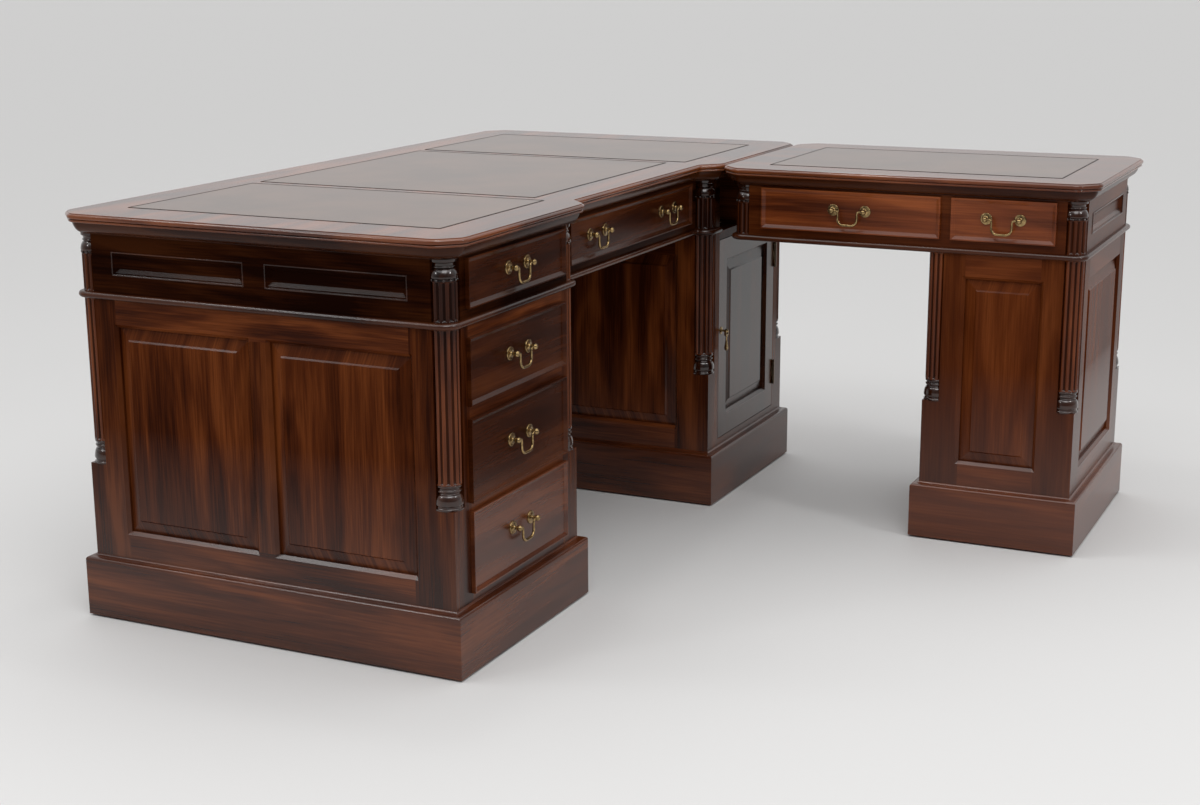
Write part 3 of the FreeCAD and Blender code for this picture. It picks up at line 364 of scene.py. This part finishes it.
flute_wood = mahogany("flute mahogany", "upright", tone=0.35)
lower_shafts = piece("lower_fluted_columns", [fluted(axis, base_high, shaft_high) for axis in lower_axes],
                     column_wood, "mahogany", "desk", "lower_columns")
darken_flutes(lower_shafts, flute_wood)
base_shares = np.vstack([
    [(1.11, 0), (1.11, 0.0024)],
    bow(1.11, 0.0056, -0.09, -0.0032, 90, 0, 6),
    bow(0.86, 0.0110, 0.24, 0.0052, -50, 0, 6),
    bow(0.86, 0.0110, 0.24, 0.0168, 0, 84, 12)[1:],
    bow(0.94, 0.0300, -0.08, -0.0022, 90, -90, 7),
    bow(0.93, 0.0342, 0.05, 0.0020, -90, 90, 7),
    bow(0.93, 0.0382, -0.06, -0.0020, 90, -90, 7),
    bow(0.94, 0.0426, 0.06, 0.0024, -90, 90, 7)])
base_profile = base_shares * (column_radius, 1) + (0, base_low)
turned_wood = mahogany("dark turned mahogany", "upright", tone=0.35, coat=0.85)
turned_shader = turned_wood.node_tree.nodes["Principled BSDF"]
turned_shader.inputs["Coat Roughness"].default_value = 0.06
turned_shader.inputs["Coat IOR"].default_value = 1.55
piece("turned_column_bases", [turned(axis, base_profile) for axis in lower_axes],
      turned_wood, "mahogany", "desk", "column_bases")

# Waist boards: the flat mahogany boards that close the pedestals and carry the friezes.
# A half-round nosing is run along the edge, with round ears over the columns and a step at the kneehole.


def rounded_path(corners, steps=9):
    """Points and outward normals along a closed outline whose corners (x, y, radius) are arcs. At a corner the
    normal turns evenly from one side's to the next, and the point is the arc's centre plus its radius along the
    normal, or minus it at a corner that turns inwards."""
    points = []
    normals = []
    spots = np.array(corners, float)
    for here, before, after in zip(spots, np.roll(spots, 1, 0), np.roll(spots, -1, 0)):
        into = (here - before)[:2] / np.hypot(*(here - before)[:2])
        away = (after - here)[:2] / np.hypot(*(after - here)[:2])
        turn = math.atan2(into[0] * away[1] - into[1] * away[0], into @ away)
        angle = math.atan2(-into[0], into[1]) + turn * np.linspace(0, 1, steps)
        normal = np.column_stack([np.cos(angle), np.sin(angle)])
        radius = math.copysign(here[2], turn)
        centre = here[:2] - radius * (normal[0] + normal[-1]) / (1 + normal[0] @ normal[-1])
        points.append(centre + radius * normal)
        normals.append(normal)
    return np.concatenate(points), np.concatenate(normals)


waist_projection = 0.009
ear_round = 0.030
knee_step = 0.034
knee_round = 0.002
recess_x0, recess_x1, recess_depth = 0.399, 0.755, 0.380
recess_lip, recess_round = 0.0065, 0.001
recess_y = main_low.y + recess_depth
waist_low, waist_high = (corner.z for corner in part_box("waist_boards"))
waist_x0, waist_x1 = main_low.x - waist_projection, main_high.x + waist_projection
waist_y0, waist_y1 = main_low.y - waist_projection, main_high.y + waist_projection
knee_x0, knee_x1, knee_y = left_x1 + waist_projection, right_x0 - waist_projection, waist_y0 + knee_step
main_waist = rounded_path([
    (waist_x0, waist_y0, ear_round), (knee_x0, waist_y0, ear_round), (knee_x0, knee_y, knee_round),
    (knee_x1, knee_y, knee_round), (knee_x1, waist_y0, ear_round), (recess_x0, waist_y0, recess_lip),
    (recess_x0, recess_y, recess_round), (recess_x1, recess_y, recess_round), (recess_x1, waist_y0, recess_lip),
    (waist_x1, waist_y0, ear_round), (waist_x1, waist_y1, ear_round), (waist_x0, waist_y1, ear_round)])
corners, mitres = mitred_path(return_low.x, return_low.y, return_high.x, return_high.y)
return_waist = rounded_path([(x, y, ear_round) for x, y in corners + waist_projection * mitres])
half_thick = (waist_high - waist_low) / 2
nosing = bow(-half_thick, waist_low + half_thick, half_thick, half_thick, -90, 90, 11)
waist_wood = mahogany("waist mahogany", "level", tone=0.55, dull=0.25)
piece("main_waist_board", [swept(main_waist, nosing)], waist_wood, "mahogany", "desk", "waist_boards")
piece("return_waist_board", [swept(return_waist, nosing)], waist_wood, "mahogany", "desk", "waist_boards")

# Friezes: the mahogany boards and posts between waist and top, with shallow sunk panels on ends and back.
# They are tenoned and glued, with rails above and below the drawers.
dress(["main_frieze"], mahogany("main frieze mahogany", "level", tone=0.28, dull=0.01, edge=0.28))
dress(["return_frieze", "return_bearer"], mahogany("return frieze mahogany", "level", tone=0.9))

# Rims of the sunk panels: narrow beads along the edges of all sunk panels of both friezes.
# They are mahogany strips, planed round, mitred at the corners and glued on.


def rims(start, along, outwards, length, panels):
    """One closed bead for each panel of a board. A point of it is the start moved along the board and up to
    the panel's edge, moved on along the mitre by the profile's first value, and outwards by its second."""
    span = (length - 2 * post_size - 2 * end_stile - (panels - 1) * muntin) / panels
    made = []
    for number in range(panels):
        near = post_size + end_stile + number * (span + muntin)
        bead = swept(mitred_path(near, rim_low, near + span, rim_low + rim_height), rim_profile)
        flat = np.array(start) + bead[..., :1] * np.array(along) + bead[..., 2:] * np.array(outwards)
        made.append(np.concatenate([flat, bead[..., 1:2]], -1))
    return made


post_size = 0.050
end_stile = 0.032
muntin = 0.047
bottom_rail = 0.034
rim_low = main_low.z + bottom_rail
rim_height = 0.042
rim_half, rim_proud, rim_sunk = 0.0013, 0.0011, 0.0005
rim_profile = np.vstack([
    bow(0, 0, rim_half, rim_proud, 0, 180, 7), [(-rim_half, -rim_sunk), (rim_half, -rim_sunk)]])
main_size = main_high - main_low
return_size = return_high - return_low
main_rims = (rims((main_low.x, main_high.y), (0, -1), (-1, 0), main_size.y, panels=2)
             + rims((main_high.x, main_low.y), (0, 1), (1, 0), main_size.y, panels=2)
             + rims((main_high.x, main_high.y), (-1, 0), (0, 1), main_size.x, panels=4))
return_rims = (rims((return_low.x, return_low.y), (1, 0), (0, -1), return_size.x, panels=1)
               + rims((return_high.x, return_low.y), (0, 1), (1, 0), return_size.y, panels=2)
               + rims((return_high.x, return_high.y), (-1, 0), (0, 1), return_size.x, panels=1))
rim_wood = mahogany("rim mahogany", "level", tone=0.5, coat=0.35, dull=0.15)
piece("sunk_panel_rims", main_rims + return_rims, rim_wood, "mahogany", "desk", loop_rows=True)

# Upper columns and caps: short fluted shafts at the frieze corners under turned mahogany caps.
# A row of small beads lies under each cap's bulb, and a canted block fills the notch above it.


def beads(axis, height):
    """Small balls in a row round an axis, one over each flute: each is a bow turned round its own middle."""
    turn = np.arange(flute_count) * 2 * math.pi / flute_count
    middles = np.array(axis) + bead_ring * np.column_stack([np.cos(turn), np.sin(turn)])
    ball = bow(0, height, bead_radius, bead_radius, -80, 80, 6)
    return [turned(middle, ball, sides=8) for middle in middles]


bead_radius = 0.0029
bead_ring = 0.0230
bead_rise = 0.0018
upper_axes = main_axes + [(x, y) for x in return_xs for y in (return_front, return_high.y - column_inset)]
cap_low, cap_high = (corner.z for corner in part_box("column_caps"))
upper_wood = mahogany("upper column mahogany", "upright", tone=0.75, coat=0.2)
upper_shafts = piece("upper_fluted_columns", [fluted(axis, waist_high, cap_low) for axis in upper_axes],
                     upper_wood, "mahogany", "desk", "upper_columns")
darken_flutes(upper_shafts, flute_wood)
cap_shares = np.vstack([
    [(0.92, 0), (0.92, 0.0030)],
    bow(0.50, 0.0062, 0.56, 0.0034, -45, 0, 7),
    bow(0.50, 0.0062, 0.56, 0.0188, 0, 62, 12)[1:],
    bow(0.82, 0.0246, 0.08, 0.0018, -90, 90, 7),
    bow(1.02, 0.0266, -0.20, 0.0064, 0, 80, 9),
    [(1.0, 0.0340), (1.0, cap_high - cap_low)]])
cap_profile = cap_shares * (column_radius, 1) + (0, cap_low)
piece("turned_column_caps", [turned(axis, cap_profile) for axis in upper_axes],
      turned_wood, "mahogany", "desk", "column_caps")
piece("cap_beads", [ball for axis in upper_axes for ball in beads(axis, cap_low + bead_rise)],
      turned_wood, "mahogany", "desk", "column_caps")
dress(["shoulder_blocks"], turned_wood)

# Mouldings under the tops: a bulging ovolo of mahogany, run round the top of both friezes.
# It is planed in lengths, mitred at every corner and glued up against the underside of the top.


def canted(low_x, low_y, high_x, high_y):
    """Rectangle corners cut off by the cant, each as (x, y, radius), anticlockwise from the front left."""
    spots = ((low_x + cant, low_y), (high_x - cant, low_y), (high_x, low_y + cant), (high_x, high_y - cant),
             (high_x - cant, high_y), (low_x + cant, high_y), (low_x, high_y - cant), (low_x, low_y + cant))
    return [(x, y, cant_round) for x, y in spots]


top_overhang = 0.029
cant = 0.039
cant_round = 0.030
step_round = 0.006
nose_height = 0.0166
mould_back, mould_foot, mould_fillet = -0.0295, -0.0265, 0.0015
ovolo_reach, ovolo_lift, ovolo_end = 0.0180, 0.34, 14.7
front_y = main_low.y - top_overhang
step_x0, step_x1 = left_x1 + top_overhang, right_x0 - top_overhang
main_edge = canted(main_low.x - top_overhang, front_y, main_high.x + top_overhang, main_high.y + top_overhang)
main_edge[1:1] = [(step_x0 - cant, front_y, cant_round), (step_x0, front_y + cant, step_round),
                  (step_x1, front_y + cant, step_round), (step_x1 + cant, front_y, cant_round)]
main_path = rounded_path(main_edge)
return_path = rounded_path(canted(return_low.x - top_overhang, return_low.y - top_overhang,
                                  return_high.x + top_overhang, return_high.y + top_overhang))
top_low, top_high = (corner.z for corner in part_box("main_top"))
mould_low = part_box("bed_moulds")[0].z
mould_top = top_high - nose_height
mould_fall = mould_top - mould_low - mould_fillet
mould = np.vstack([
    [(mould_back, mould_top), (mould_back, mould_low), (mould_foot, mould_low)],
    bow(mould_foot, mould_top + ovolo_lift * mould_fall, ovolo_reach, -(1 + ovolo_lift) * mould_fall,
        90, ovolo_end, 11)])
mould_wood = mahogany("moulding mahogany", "level", tone=0.4, coat=0.06, dull=0.12)
piece("cove_under_the_main_top", [swept(main_path, mould)],
      mould_wood, "mahogany", "desk", "bed_moulds", loop_rows=True)
piece("cove_under_the_return_top", [swept(return_path, mould)],
      mould_wood, "mahogany", "desk", "bed_moulds", loop_rows=True)

# Tops: mahogany slabs with a quirk and a round nose over a smaller bead, canted at the corners.
# They are glued up from boards along their length, and buttoned down to the friezes.
leather_proud = 0.0003
edge_break = 0.0004
quirk_depth = 0.0014
round_in, round_height = 0.0046, 0.0048
bead_in, bead_out, bead_height = 0.0052, 0.0027, 0.0025
slab_in = 0.0290
flat_z = top_high - leather_proud
quirk_z = flat_z - quirk_depth
nose = np.vstack([
    [(-round_in - edge_break, flat_z), (-round_in, flat_z - edge_break), (-round_in, quirk_z)],
    bow(-round_in, quirk_z - round_height, round_in, round_height, 84, -84, 15),
    bow(-bead_in, mould_top + bead_height, bead_out, bead_height, 84, -90, 9),
    [(-slab_in, mould_top), (-slab_in, top_low)]])
main_wood = mahogany("main top mahogany", "along_x", tone=1.6, coat=0.5)
return_wood = mahogany("return top mahogany", "along_y", tone=1.1, coat=0.5)
nose_wood = mahogany("nose mahogany", "level", tone=1.3, coat=0.6)
main_slab = piece("main_top_slab", [swept(main_path, nose)],
                  main_wood, "mahogany", "desk", "main_top")
return_slab = piece("return_top_slab", [swept(return_path, nose)],
                    return_wood, "mahogany", "desk", "return_top")
for slab in (main_slab, return_slab):
    slab.data.materials.append(nose_wood)
    faces = len(slab.data.polygons)
    slab.data.polygons.foreach_set("material_index", (np.arange(faces) < faces - flat_ends).astype(int))

# Leather fields: brown hide let into the tops, three on the main top and one on the return.
# The hide is pasted down, and a fine dark line is tooled round each field.


def hide(name, colour):
    """Waxed hide: the colour is varied by cloudy noise over 6 per metre, and a fine noise bumps the grain."""
    material, shader = new_finish(name)
    tree = material.node_tree
    place = tree.nodes.new("ShaderNodeTexCoord").outputs["Object"]
    cloud = mottled(tree, place, scale=6, detail=4)
    shown = tinted(tree, cloud, (0.3, share_of(colour, 0.75)), (0.7, share_of(colour, 1.25)))
    bump = tree.nodes.new("ShaderNodeBump")
    bump.inputs["Strength"].default_value = 0.08
    bump.inputs["Distance"].default_value = 0.0005
    tree.links.new(mottled(tree, place, scale=700), bump.inputs["Height"])
    tree.links.new(shown, shader.inputs["Base Color"])
    tree.links.new(bump.outputs["Normal"], shader.inputs["Normal"])
    shader.inputs["Roughness"].default_value = 0.35
    shader.inputs["Coat Weight"].default_value = 0.65
    shader.inputs["Coat Roughness"].default_value = 0.15
    return material


dress(["leather_fields"], hide("brown hide", (0.115, 0.054, 0.028)))
line_half = 0.0012
line_proud = 0.0003
margin = 0.062
split = 0.006
middle_split = 0.024
end_border = 0.081
step_margin = 0.096
low_y, high_y = main_low.y + margin, main_high.y - margin
fields = ((main_low.x + end_border, low_y, left_x1 - split, high_y),
          (left_x1 + middle_split, main_low.y + step_margin, right_x0 - middle_split, high_y),
          (right_x0 + split, low_y, main_high.x - end_border, high_y),
          (return_low.x + margin, return_low.y + margin, return_high.x - margin, return_high.y - margin))
line = np.array([(-line_half, flat_z - line_proud), (-line_half, top_high + line_proud),
                 (line_half, top_high + line_proud), (line_half, flat_z - line_proud)])
piece("tooled_lines", [swept(mitred_path(*field), line) for field in fields],
      plain("dark tooling", (0.012, 0.008, 0.006), metal=0, roughness=0.5), "leather", "desk", loop_rows=True)

# Drawers: figured mahogany fronts with a moulded lip round a sunk field, seven in all.
# The lip is worked on the front's edge, and boxes of waxed hardwood are dovetailed behind.
drawers = [name.removesuffix("_front") for name in nodes if name.endswith("_front")]
main_fronts = mahogany("main drawer mahogany", "level", tone=0.62, dull=0.1, edge=0.4, figure=0.6)
# The bottom front is a paler copy of the drawer mahogany: its paler colour is a painted reflection of the pale
# floor, and its stronger shine is real.
bottom_front = mahogany("bottom drawer mahogany with painted floor reflection", "level", tone=1.3, dull=0.6, edge=0.4, figure=0.5)
return_fronts = mahogany("return drawer mahogany", "level", tone=1.9, dull=0.25, edge=0.4)
dress([name + "_front" for name in drawers if "return" not in name], main_fronts)
dress([name + "_front" for name in drawers if "return" in name], return_fronts)
dress(["left_drawer_bottom_front"], bottom_front)
dress([name + "_box" for name in drawers], lining_wood)

# Swan neck handles: cast brass rosettes with ball-headed posts through the drawer front, and a hanging bail.
# The bail is drawn rod, bent to a swan neck, and its ends turn in the balls of the posts.


def aged_brass(name, colour):
    """Aged brass: a metal whose colour runs from a dark to a light share of the given one by cloudy noise."""
    material, shader = new_finish(name)
    tree = material.node_tree
    place = tree.nodes.new("ShaderNodeTexCoord").outputs["Object"]
    cloud = mottled(tree, place, scale=160, detail=3)
    shown = tinted(tree, cloud, (0.35, share_of(colour, 0.55)), (0.7, share_of(colour, 1.2)))
    tree.links.new(shown, shader.inputs["Base Color"])
    shader.inputs["Metallic"].default_value = 1
    shader.inputs["Roughness"].default_value = 0.27
    return material


def post(centre, towards, sides=28):
    """A turned post along the drawer's outward way: at turn t, (r cos t) across, (r sin t) up and the height
    out, for each (r, height) of the profile."""
    turn = np.linspace(0, 2 * math.pi, sides, endpoint=False)
    across = np.cross(upwards, towards)
    ring = np.cos(turn)[:, None] * across + np.sin(turn)[:, None] * upwards
    return (np.array(centre) + post_profile[:, :1, None] * ring[None]
            + (post_profile[:, 1:, None] - ball_out) * np.array(towards))


def bail(centre, towards, sides=12):
    """A bent rod: the path's point plus the rod's radius times (cos t along the path's normal + sin t
    outwards). The radius grows evenly from the ends to the lowest point."""
    across = np.cross(upwards, towards)
    path = np.vstack([half_rod, (half_rod * (-1, 1))[::-1]])
    steps = np.gradient(path, axis=0)
    normal = np.column_stack([steps[:, 1], -steps[:, 0]]) / np.hypot(*steps.T)[:, None]
    turn = np.linspace(0, 2 * math.pi, sides, endpoint=False)
    radius = (rod_radius + rod_swell * np.clip(-path[:, 1] / rod_drop, 0, 1))[:, None]
    aside = path[:, :1] + radius * np.cos(turn) * normal[:, :1]
    up = path[:, 1:] + radius * np.cos(turn) * normal[:, 1:]
    out = radius * np.sin(turn)
    return (np.array(centre) + aside[..., None] * across + up[..., None] * upwards
            + out[..., None] * np.array(towards))


brass = aged_brass("aged brass", (0.40, 0.275, 0.125))
upwards = np.array((0, 0, 1))
post_spacing = 0.070
ball_out = 0.014
post_profile = np.vstack([
    [(0.0125, 0)], bow(0.0110, 0.0012, 0.0015, 0.0012, 0, 90, 5),
    bow(0.0110, 0.0052, -0.0076, -0.0028, 90, 20, 7), [(0.0032, 0.0062), (0.0034, 0.0086)],
    bow(0, ball_out, 0.0060, 0.0060, -56, 86, 11)])
rod_radius = 0.0021
rod_swell = 0.0007
rod_drop = 0.030
half_rod = np.vstack([
    [(0.033, 0), (0.029, 0)], bow(0.026, -0.005, 0.005, 0.005, 90, 180, 7),
    bow(0.008, -0.017, 0.013, 0.013, 0, -90, 9)])
for joint in frame["joints"]:
    if "_bail" in joint["child"]:
        facing = (0, -1, 0) if joint["axis"][0] else (-1, 0, 0)
        sideways = np.abs(joint["axis"]) * post_spacing / 2
        spots = [np.array(joint["pos_m"]) + sign * sideways for sign in (-1, 1)]
        piece(joint["child"] + "_posts", [post(spot, facing) for spot in spots],
              brass, "brass", joint["parent"], joint["parent"] + "_posts")
        piece(joint["child"] + "_rod", [bail(joint["pos_m"], facing)],
              brass, "brass", joint["child"], joint["child"])

# Cupboard door: mahogany stiles and rails with a raised, fielded panel, in the right pedestal.
# It hangs on two brass butt hinges, and a brass drop pull turns a spindle that draws the latch bolt.
dress(["door_frame", "door_panel"], mahogany("door mahogany", "upright", tone=0.5, coat=0.15, dull=0.5))
dress(["door_escutcheon", "pull_spindle", "pull_drop"], brass)
dress(["door_hinges", "hinge_leaves"], aged_brass("dulled brass", (0.20, 0.15, 0.09)))
dress(["latch_case", "latch_bolt"], plain("bright steel", (0.45, 0.44, 0.42), metal=1, roughness=0.35))

# Studio: a plain pale floor that runs out of the picture, under one broad soft light from above.
# Softboxes stand in front, at the left, behind, overhead and at the right, and a grey sky, paler on one side,
# fills in the shaded sides.
floor_reach = 60
floor_corners = mitred_path(-floor_reach, -floor_reach, floor_reach, floor_reach)[0]
floor_mesh = bpy.data.meshes.new("studio_floor")
floor_mesh.from_pydata([(x, y, 0) for x, y in floor_corners.tolist()], [], [(0, 1, 2, 3)])
floor_mesh.materials.append(plain("pale floor", (0.71, 0.705, 0.70), metal=0, roughness=0.7))
floor = bpy.data.objects.new("studio_floor", floor_mesh)
bpy.context.scene.collection.objects.link(floor)


def softbox(name, place, target, size, power):
    """A square area light at a place, turned to face a target."""
    light = bpy.data.lights.new(name, "AREA")
    light.size = size
    light.energy = power
    lamp = bpy.data.objects.new(name, light)
    lamp.location = place
    lamp.rotation_euler = (Vector(place) - Vector(target)).to_track_quat("Z", "Y").to_euler()
    bpy.context.scene.collection.objects.link(lamp)


softbox("front softbox", (-2.6, -1.6, 3.4), (-1.2, -0.9, 0), size=2.2, power=34)
softbox("left softbox", (-3.1, 1.85, 2.1), (-0.8, 0.2, 0.7), size=0.42, power=8)
softbox("back softbox", (-1.7, 2.4, 3.2), (-0.83, 0.4, 0.4), size=0.6, power=8)
softbox("ceiling softbox", (-0.05, 0.4, 3.2), (0.3, -0.4, 0.7), size=0.32, power=5)
softbox("right softbox", (-0.57, -3.2, 2.5), (-0.7, 0, 0.6), size=0.36, power=13)
sun = bpy.data.lights.new("overhead light", "SUN")
sun.energy = 1.55
sun.angle = math.radians(95)
overhead = bpy.data.objects.new("overhead light", sun)
overhead.rotation_euler = (math.radians(6), math.radians(-7), 0)
bpy.context.scene.collection.objects.link(overhead)
world = bpy.data.worlds.new("grey sky")
world.use_nodes = True
sky = world.node_tree
turn_sky = sky.nodes.new("ShaderNodeMapping")
turn_sky.inputs["Rotation"].default_value = (0, 0, math.radians(-25))
turn_sky.inputs["Location"].default_value = (0.5, 0, 0)
turn_sky.inputs["Scale"].default_value = (0.5, 0.5, 0.5)
sky.links.new(sky.nodes.new("ShaderNodeTexCoord").outputs["Generated"], turn_sky.inputs["Vector"])
fade = sky.nodes.new("ShaderNodeTexGradient")
sky.links.new(turn_sky.outputs[0], fade.inputs["Vector"])
sky_tones = tinted(sky, fade.outputs["Fac"], (0, (0.10, 0.10, 0.10)), (1, (0.66, 0.66, 0.66)))
sky.links.new(sky_tones, sky.nodes["Background"].inputs["Color"])
bpy.context.scene.world = world
bpy.context.scene.view_settings.view_transform = "Standard"

# Camera: the photographed view, from in front of the left end and a little above the tops.
# Its place, turn and lens were fitted to the straight edges of plinths, waists and tops.
lens = bpy.data.cameras.new("photo view")
lens.lens = 56.175
lens.sensor_width = 36
camera = bpy.data.objects.new("photo view", lens)
camera.location = (-3.48379, -1.52756, 1.25260)
pitch, heading, roll = (math.radians(angle) for angle in (76.192, -64.593, -0.297))
level_view = Euler((pitch, 0, heading)).to_matrix()
camera.rotation_euler = (level_view @ Matrix.Rotation(roll, 3, "Z")).to_euler()
bpy.context.scene.collection.objects.link(camera)
bpy.context.scene.camera = camera
